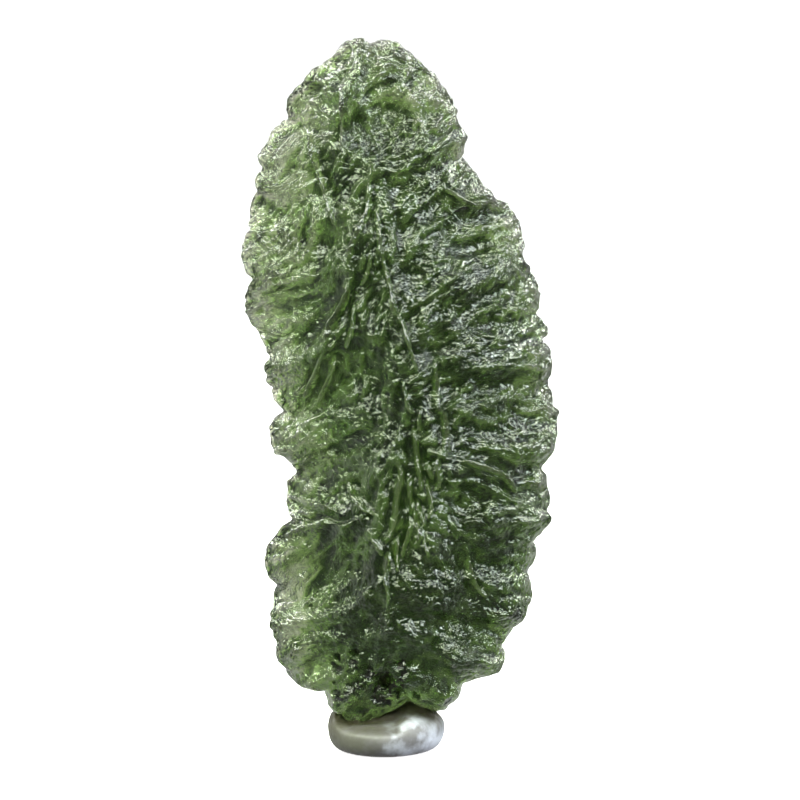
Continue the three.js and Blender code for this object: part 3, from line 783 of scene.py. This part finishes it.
def combined(nodes, links, operation, first, second):
    """Two values added or multiplied."""
    maths = nodes.new("ShaderNodeMath")
    maths.operation = operation
    links.new(first, maths.inputs[0])
    links.new(second, maths.inputs[1])
    return maths.outputs["Value"]


def bumps(nodes, links, height, values):
    """Normals that follow a height."""
    bump = nodes.new("ShaderNodeBump")
    set_values(bump, values)
    links.new(height, bump.inputs["Height"])
    return bump.outputs["Normal"]


def ramp(nodes, links, value, stops):
    """Colours between stops of [place, colour]."""
    colours = nodes.new("ShaderNodeValToRGB")
    for element, (place, colour) in zip(colours.color_ramp.elements, (stops[0], stops[-1])):
        element.position, element.color = place, (*colour, 1)
    for place, colour in stops[1:-1]:
        colours.color_ramp.elements.new(place).color = (*colour, 1)
    links.new(value, colours.inputs["Fac"])
    return colours.outputs["Color"]


# The glass: its shader, and what it takes out of the light on each metre
GLASS = {
    "Transmission Weight": 1.0,
    "IOR": 1.49,
    "Roughness": 0.22,
    "Specular Tint": (0.25, 0.35, 0.2, 1),
    "Coat Weight": 1.0,
    "Coat Roughness": 0.06,
    "Coat IOR": 1.6,
}
ABSORPTION = {"Color": (0.335, 0.437, 0.2, 1), "Density": 185}

# The tints of the glass by its tone. The first, near black, is for holes alone, as painted shade.
GLASS_TINTS = [
    (0.0, (0.001, 0.001, 0.0005)),
    (0.05, (0.012, 0.03, 0.004)),
    (0.2, (0.014, 0.034, 0.005)),
    (0.6, (0.48, 0.72, 0.22)),
    (1.0, (0.98, 1.0, 0.80)),
]

# Scale and detail of the glass's cloudiness and grain, and how strong they are
CLOUDS = (1100, 3)
CLOUD_TONES = {"To Min": -0.3, "To Max": 0.3}
GRAIN = (4400, 1)
GRAIN_SHARES = {"To Min": 0.25}
GRAIN_BUMPS = {"Strength": 0.9, "Distance": 0.00024}


def glass_material():
    """See-through green glass with a wet gloss, pale or dark by its tone with its painted light and
    shade, and finely pitted.
    """
    material, nodes, links, shader = new_material("moldavite_glass")
    cloud = mapped(nodes, links, noise(nodes, links, *CLOUDS), CLOUD_TONES)
    tone = combined(nodes, links, "ADD", attribute(nodes, "tone"), cloud)
    links.new(ramp(nodes, links, tone, GLASS_TINTS), shader.inputs["Base Color"])
    set_values(shader, GLASS)
    absorb = nodes.new("ShaderNodeVolumeAbsorption")
    set_values(absorb, ABSORPTION)
    links.new(absorb.outputs["Volume"], nodes["Material Output"].inputs["Volume"])
    share = mapped(nodes, links, attribute(nodes, "pitted"), GRAIN_SHARES)
    grain = combined(nodes, links, "MULTIPLY", noise(nodes, links, *GRAIN), share)
    normal = bumps(nodes, links, grain, GRAIN_BUMPS)
    for socket in ("Normal", "Coat Normal"):
        links.new(normal, shader.inputs[socket])
    return material


# The putty: its blotches, whiter to the right as painted light from the right-hand lamps, the brown
# painted contact shadow by the stone, its sheen and grain
BLOTCHES = (900, 4)
PAINTED_LIGHT_ACROSS = {"From Min": -0.003, "From Max": 0.004, "To Min": -0.25, "To Max": 0.25}
BLOTCH_AND_PAINTED_LIGHT_TINTS = [
    (0.25, (0.15, 0.15, 0.125)),
    (0.5, (0.21, 0.205, 0.21)),
    (0.75, (0.62, 0.65, 0.73)),
]
SHADOW_TINT = (0.035, 0.03, 0.015, 1)
SHADOW_EDGES = [(0.3, (0, 0, 0)), (0.85, (1, 1, 1))]
SHEEN = (2600, 2)
SHEEN_ROUGHNESS = [(0.35, (0.45, 0.45, 0.45)), (0.65, (0.70, 0.70, 0.70))]
PUTTY_GRAIN = (4000, 3)
PUTTY_BUMPS = {"Strength": 0.3, "Distance": 0.00005}


def putty_material():
    """White putty, blotchy and slightly shiny, painted whiter to the right as painted light, and
    painted dark brown near the stone as a painted contact shadow.
    """
    material, nodes, links, shader = new_material("white_putty")
    coords = nodes.new("ShaderNodeTexCoord")
    split = nodes.new("ShaderNodeSeparateXYZ")
    links.new(coords.outputs["Object"], split.inputs["Vector"])
    # Painted light: the putty is painted whiter towards the right
    across = mapped(nodes, links, split.outputs["X"], PAINTED_LIGHT_ACROSS)
    blotch_and_light = combined(nodes, links, "ADD", noise(nodes, links, *BLOTCHES), across)
    # Painted contact shadow: the putty is painted dark brown where it is near the stone
    painted_shadow = nodes.new("ShaderNodeMixRGB")
    painted_shadow.inputs["Color2"].default_value = SHADOW_TINT
    touch = ramp(nodes, links, attribute(nodes, "near"), SHADOW_EDGES)
    links.new(touch, painted_shadow.inputs["Fac"])
    links.new(ramp(nodes, links, blotch_and_light, BLOTCH_AND_PAINTED_LIGHT_TINTS), painted_shadow.inputs["Color1"])
    links.new(painted_shadow.outputs["Color"], shader.inputs["Base Color"])
    sheen = ramp(nodes, links, noise(nodes, links, *SHEEN), SHEEN_ROUGHNESS)
    links.new(sheen, shader.inputs["Roughness"])
    normal = bumps(nodes, links, noise(nodes, links, *PUTTY_GRAIN), PUTTY_BUMPS)
    links.new(normal, shader.inputs["Normal"])
    return material


# The camera stands where the photograph was taken from. The frame's origin is seen at a pixel.
FRAME_PIXELS = 800
MM_PER_PIXEL = 0.0616
ORIGIN_PIXEL = (386, 751.9)
CAMERA_ELEVATION = 8
LENS = 220
SENSOR = 36
CLIP = (0.001, 10)


def turned_along(way):
    """The turn of a camera or lamp that looks along a way."""
    return way.to_track_quat("-Z", "Y").to_euler()


def make_camera():
    """A long lens, from in front and slightly above."""
    camera = bpy.data.cameras.new("camera")
    camera.lens = LENS
    camera.sensor_width = SENSOR
    eye = bpy.data.objects.new("camera", camera)
    bpy.context.scene.collection.objects.link(eye)
    width = FRAME_PIXELS * MM_PER_PIXEL
    distance = width / 2 / (SENSOR / 2 / LENS)
    tilt = math.radians(CAMERA_ELEVATION)
    back = Vector((0, -math.cos(tilt), math.sin(tilt)))
    right = (FRAME_PIXELS / 2 - ORIGIN_PIXEL[0]) * MM_PER_PIXEL
    up = (ORIGIN_PIXEL[1] - FRAME_PIXELS / 2) * MM_PER_PIXEL / math.cos(tilt)
    eye.location = (Vector((right, 0, up)) + back * distance) * MM
    eye.rotation_euler = turned_along(-back)
    camera.clip_start, camera.clip_end = CLIP
    bpy.context.scene.camera = eye


# The white table and room, in metres, and how much they glow
STAGE_RADIUS = 1.5
WHITE = (0.9, 0.9, 0.9, 1)
PAPER_ROUGHNESS = 0.9
FLOOR_GLOW = 0.8
ROOM_GLOW = 1.1


def paper(name, glow):
    material, _, _, shader = new_material(name)
    set_values(shader, {
        "Base Color": WHITE,
        "Roughness": PAPER_ROUGHNESS,
        "Emission Color": (1, 1, 1, 1),
        "Emission Strength": glow,
    })
    return material


def make_stage():
    """A white table and the white room round it. Only the camera sees them, and the lamps and the
    world light the stone, so they can be plain white without greying the glass."""
    bpy.ops.mesh.primitive_circle_add(vertices=96, radius=STAGE_RADIUS, fill_type="NGON")
    floor = bpy.context.object
    floor.name = "floor"
    floor.data.materials.append(paper("floor_paper", FLOOR_GLOW))
    bpy.ops.mesh.primitive_uv_sphere_add(segments=64, ring_count=32, radius=STAGE_RADIUS)
    room = bpy.context.object
    room.name = "backdrop"
    room.data.materials.append(paper("backdrop_paper", ROOM_GLOW))
    room.visible_shadow = False
    for piece in (floor, room):
        piece.visible_diffuse = piece.visible_glossy = piece.visible_transmission = False


# Small soft lamps round the stone, each of which gives its own glints, in metres: name, place
# and colour. They point at the stone's middle.
LAMP_SIZE = 0.10
LAMP_POWER = 0.52
LAMP_AIM = (0, 0, 0.022)
LAMPS = [
    ("left", (-0.20, -0.10, 0.19), (0.90, 1.0, 0.72)),
    ("high left", (-0.11, -0.12, 0.28), (0.93, 1.0, 0.80)),
    ("top", (0.03, -0.19, 0.26), (0.95, 1.0, 0.90)),
    ("front", (-0.09, -0.25, 0.19), (0.93, 1.0, 0.82)),
    ("high right", (0.15, -0.13, 0.23), (0.93, 0.98, 1.0)),
    ("right", (0.24, -0.09, 0.12), (0.90, 0.96, 1.0)),
    ("behind left", (-0.20, 0.14, 0.18), (0.95, 1.0, 0.90)),
    ("behind top", (0.0, 0.15, 0.27), (0.95, 1.0, 0.90)),
    ("behind right", (0.20, 0.14, 0.18), (0.95, 1.0, 0.90)),
]


# The world's light: the way in which it gets brighter, and how bright it is in front and behind
BEHIND = (-0.3, 0.95, 0)
WORLD_STRENGTHS = {"From Min": -0.5, "From Max": 0.5, "To Min": 0.16, "To Max": 0.60}


def make_light():
    """The lamps, and a world that is dim in front of the stone and brighter behind it."""
    scene = bpy.context.scene
    scene.view_settings.view_transform = "Standard"
    world = bpy.data.worlds.new("studio")
    scene.world = world
    world.use_nodes = True
    nodes, links = world.node_tree.nodes, world.node_tree.links
    coords = nodes.new("ShaderNodeTexCoord")
    behind = nodes.new("ShaderNodeVectorMath")
    behind.operation = "DOT_PRODUCT"
    behind.inputs[1].default_value = BEHIND
    links.new(coords.outputs["Generated"], behind.inputs[0])
    strength = nodes.new("ShaderNodeMapRange")
    strength.interpolation_type = "SMOOTHSTEP"
    set_values(strength, WORLD_STRENGTHS)
    links.new(behind.outputs["Value"], strength.inputs["Value"])
    links.new(strength.outputs["Result"], nodes["Background"].inputs["Strength"])
    nodes["Background"].inputs["Color"].default_value = (1, 1, 1, 1)
    for name, place, colour in LAMPS:
        add_lamp(name, place, colour)


def add_lamp(name, place, colour):
    light = bpy.data.lights.new(name, "AREA")
    light.shape = "DISK"
    light.size = LAMP_SIZE
    light.energy = LAMP_POWER
    light.color = colour
    lamp = bpy.data.objects.new(name, light)
    bpy.context.scene.collection.objects.link(lamp)
    lamp.location = place
    lamp.rotation_euler = turned_along(Vector(LAMP_AIM) - Vector(place))


make_camera()
make_stage()
make_light()

stone = make_stone()
stone.data.materials.append(glass_material())
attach(stone, "root")
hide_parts("moldavite")

pad = make_pad(stone)
pad.data.materials.append(putty_material())
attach(pad, "root")
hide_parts("putty_pad")
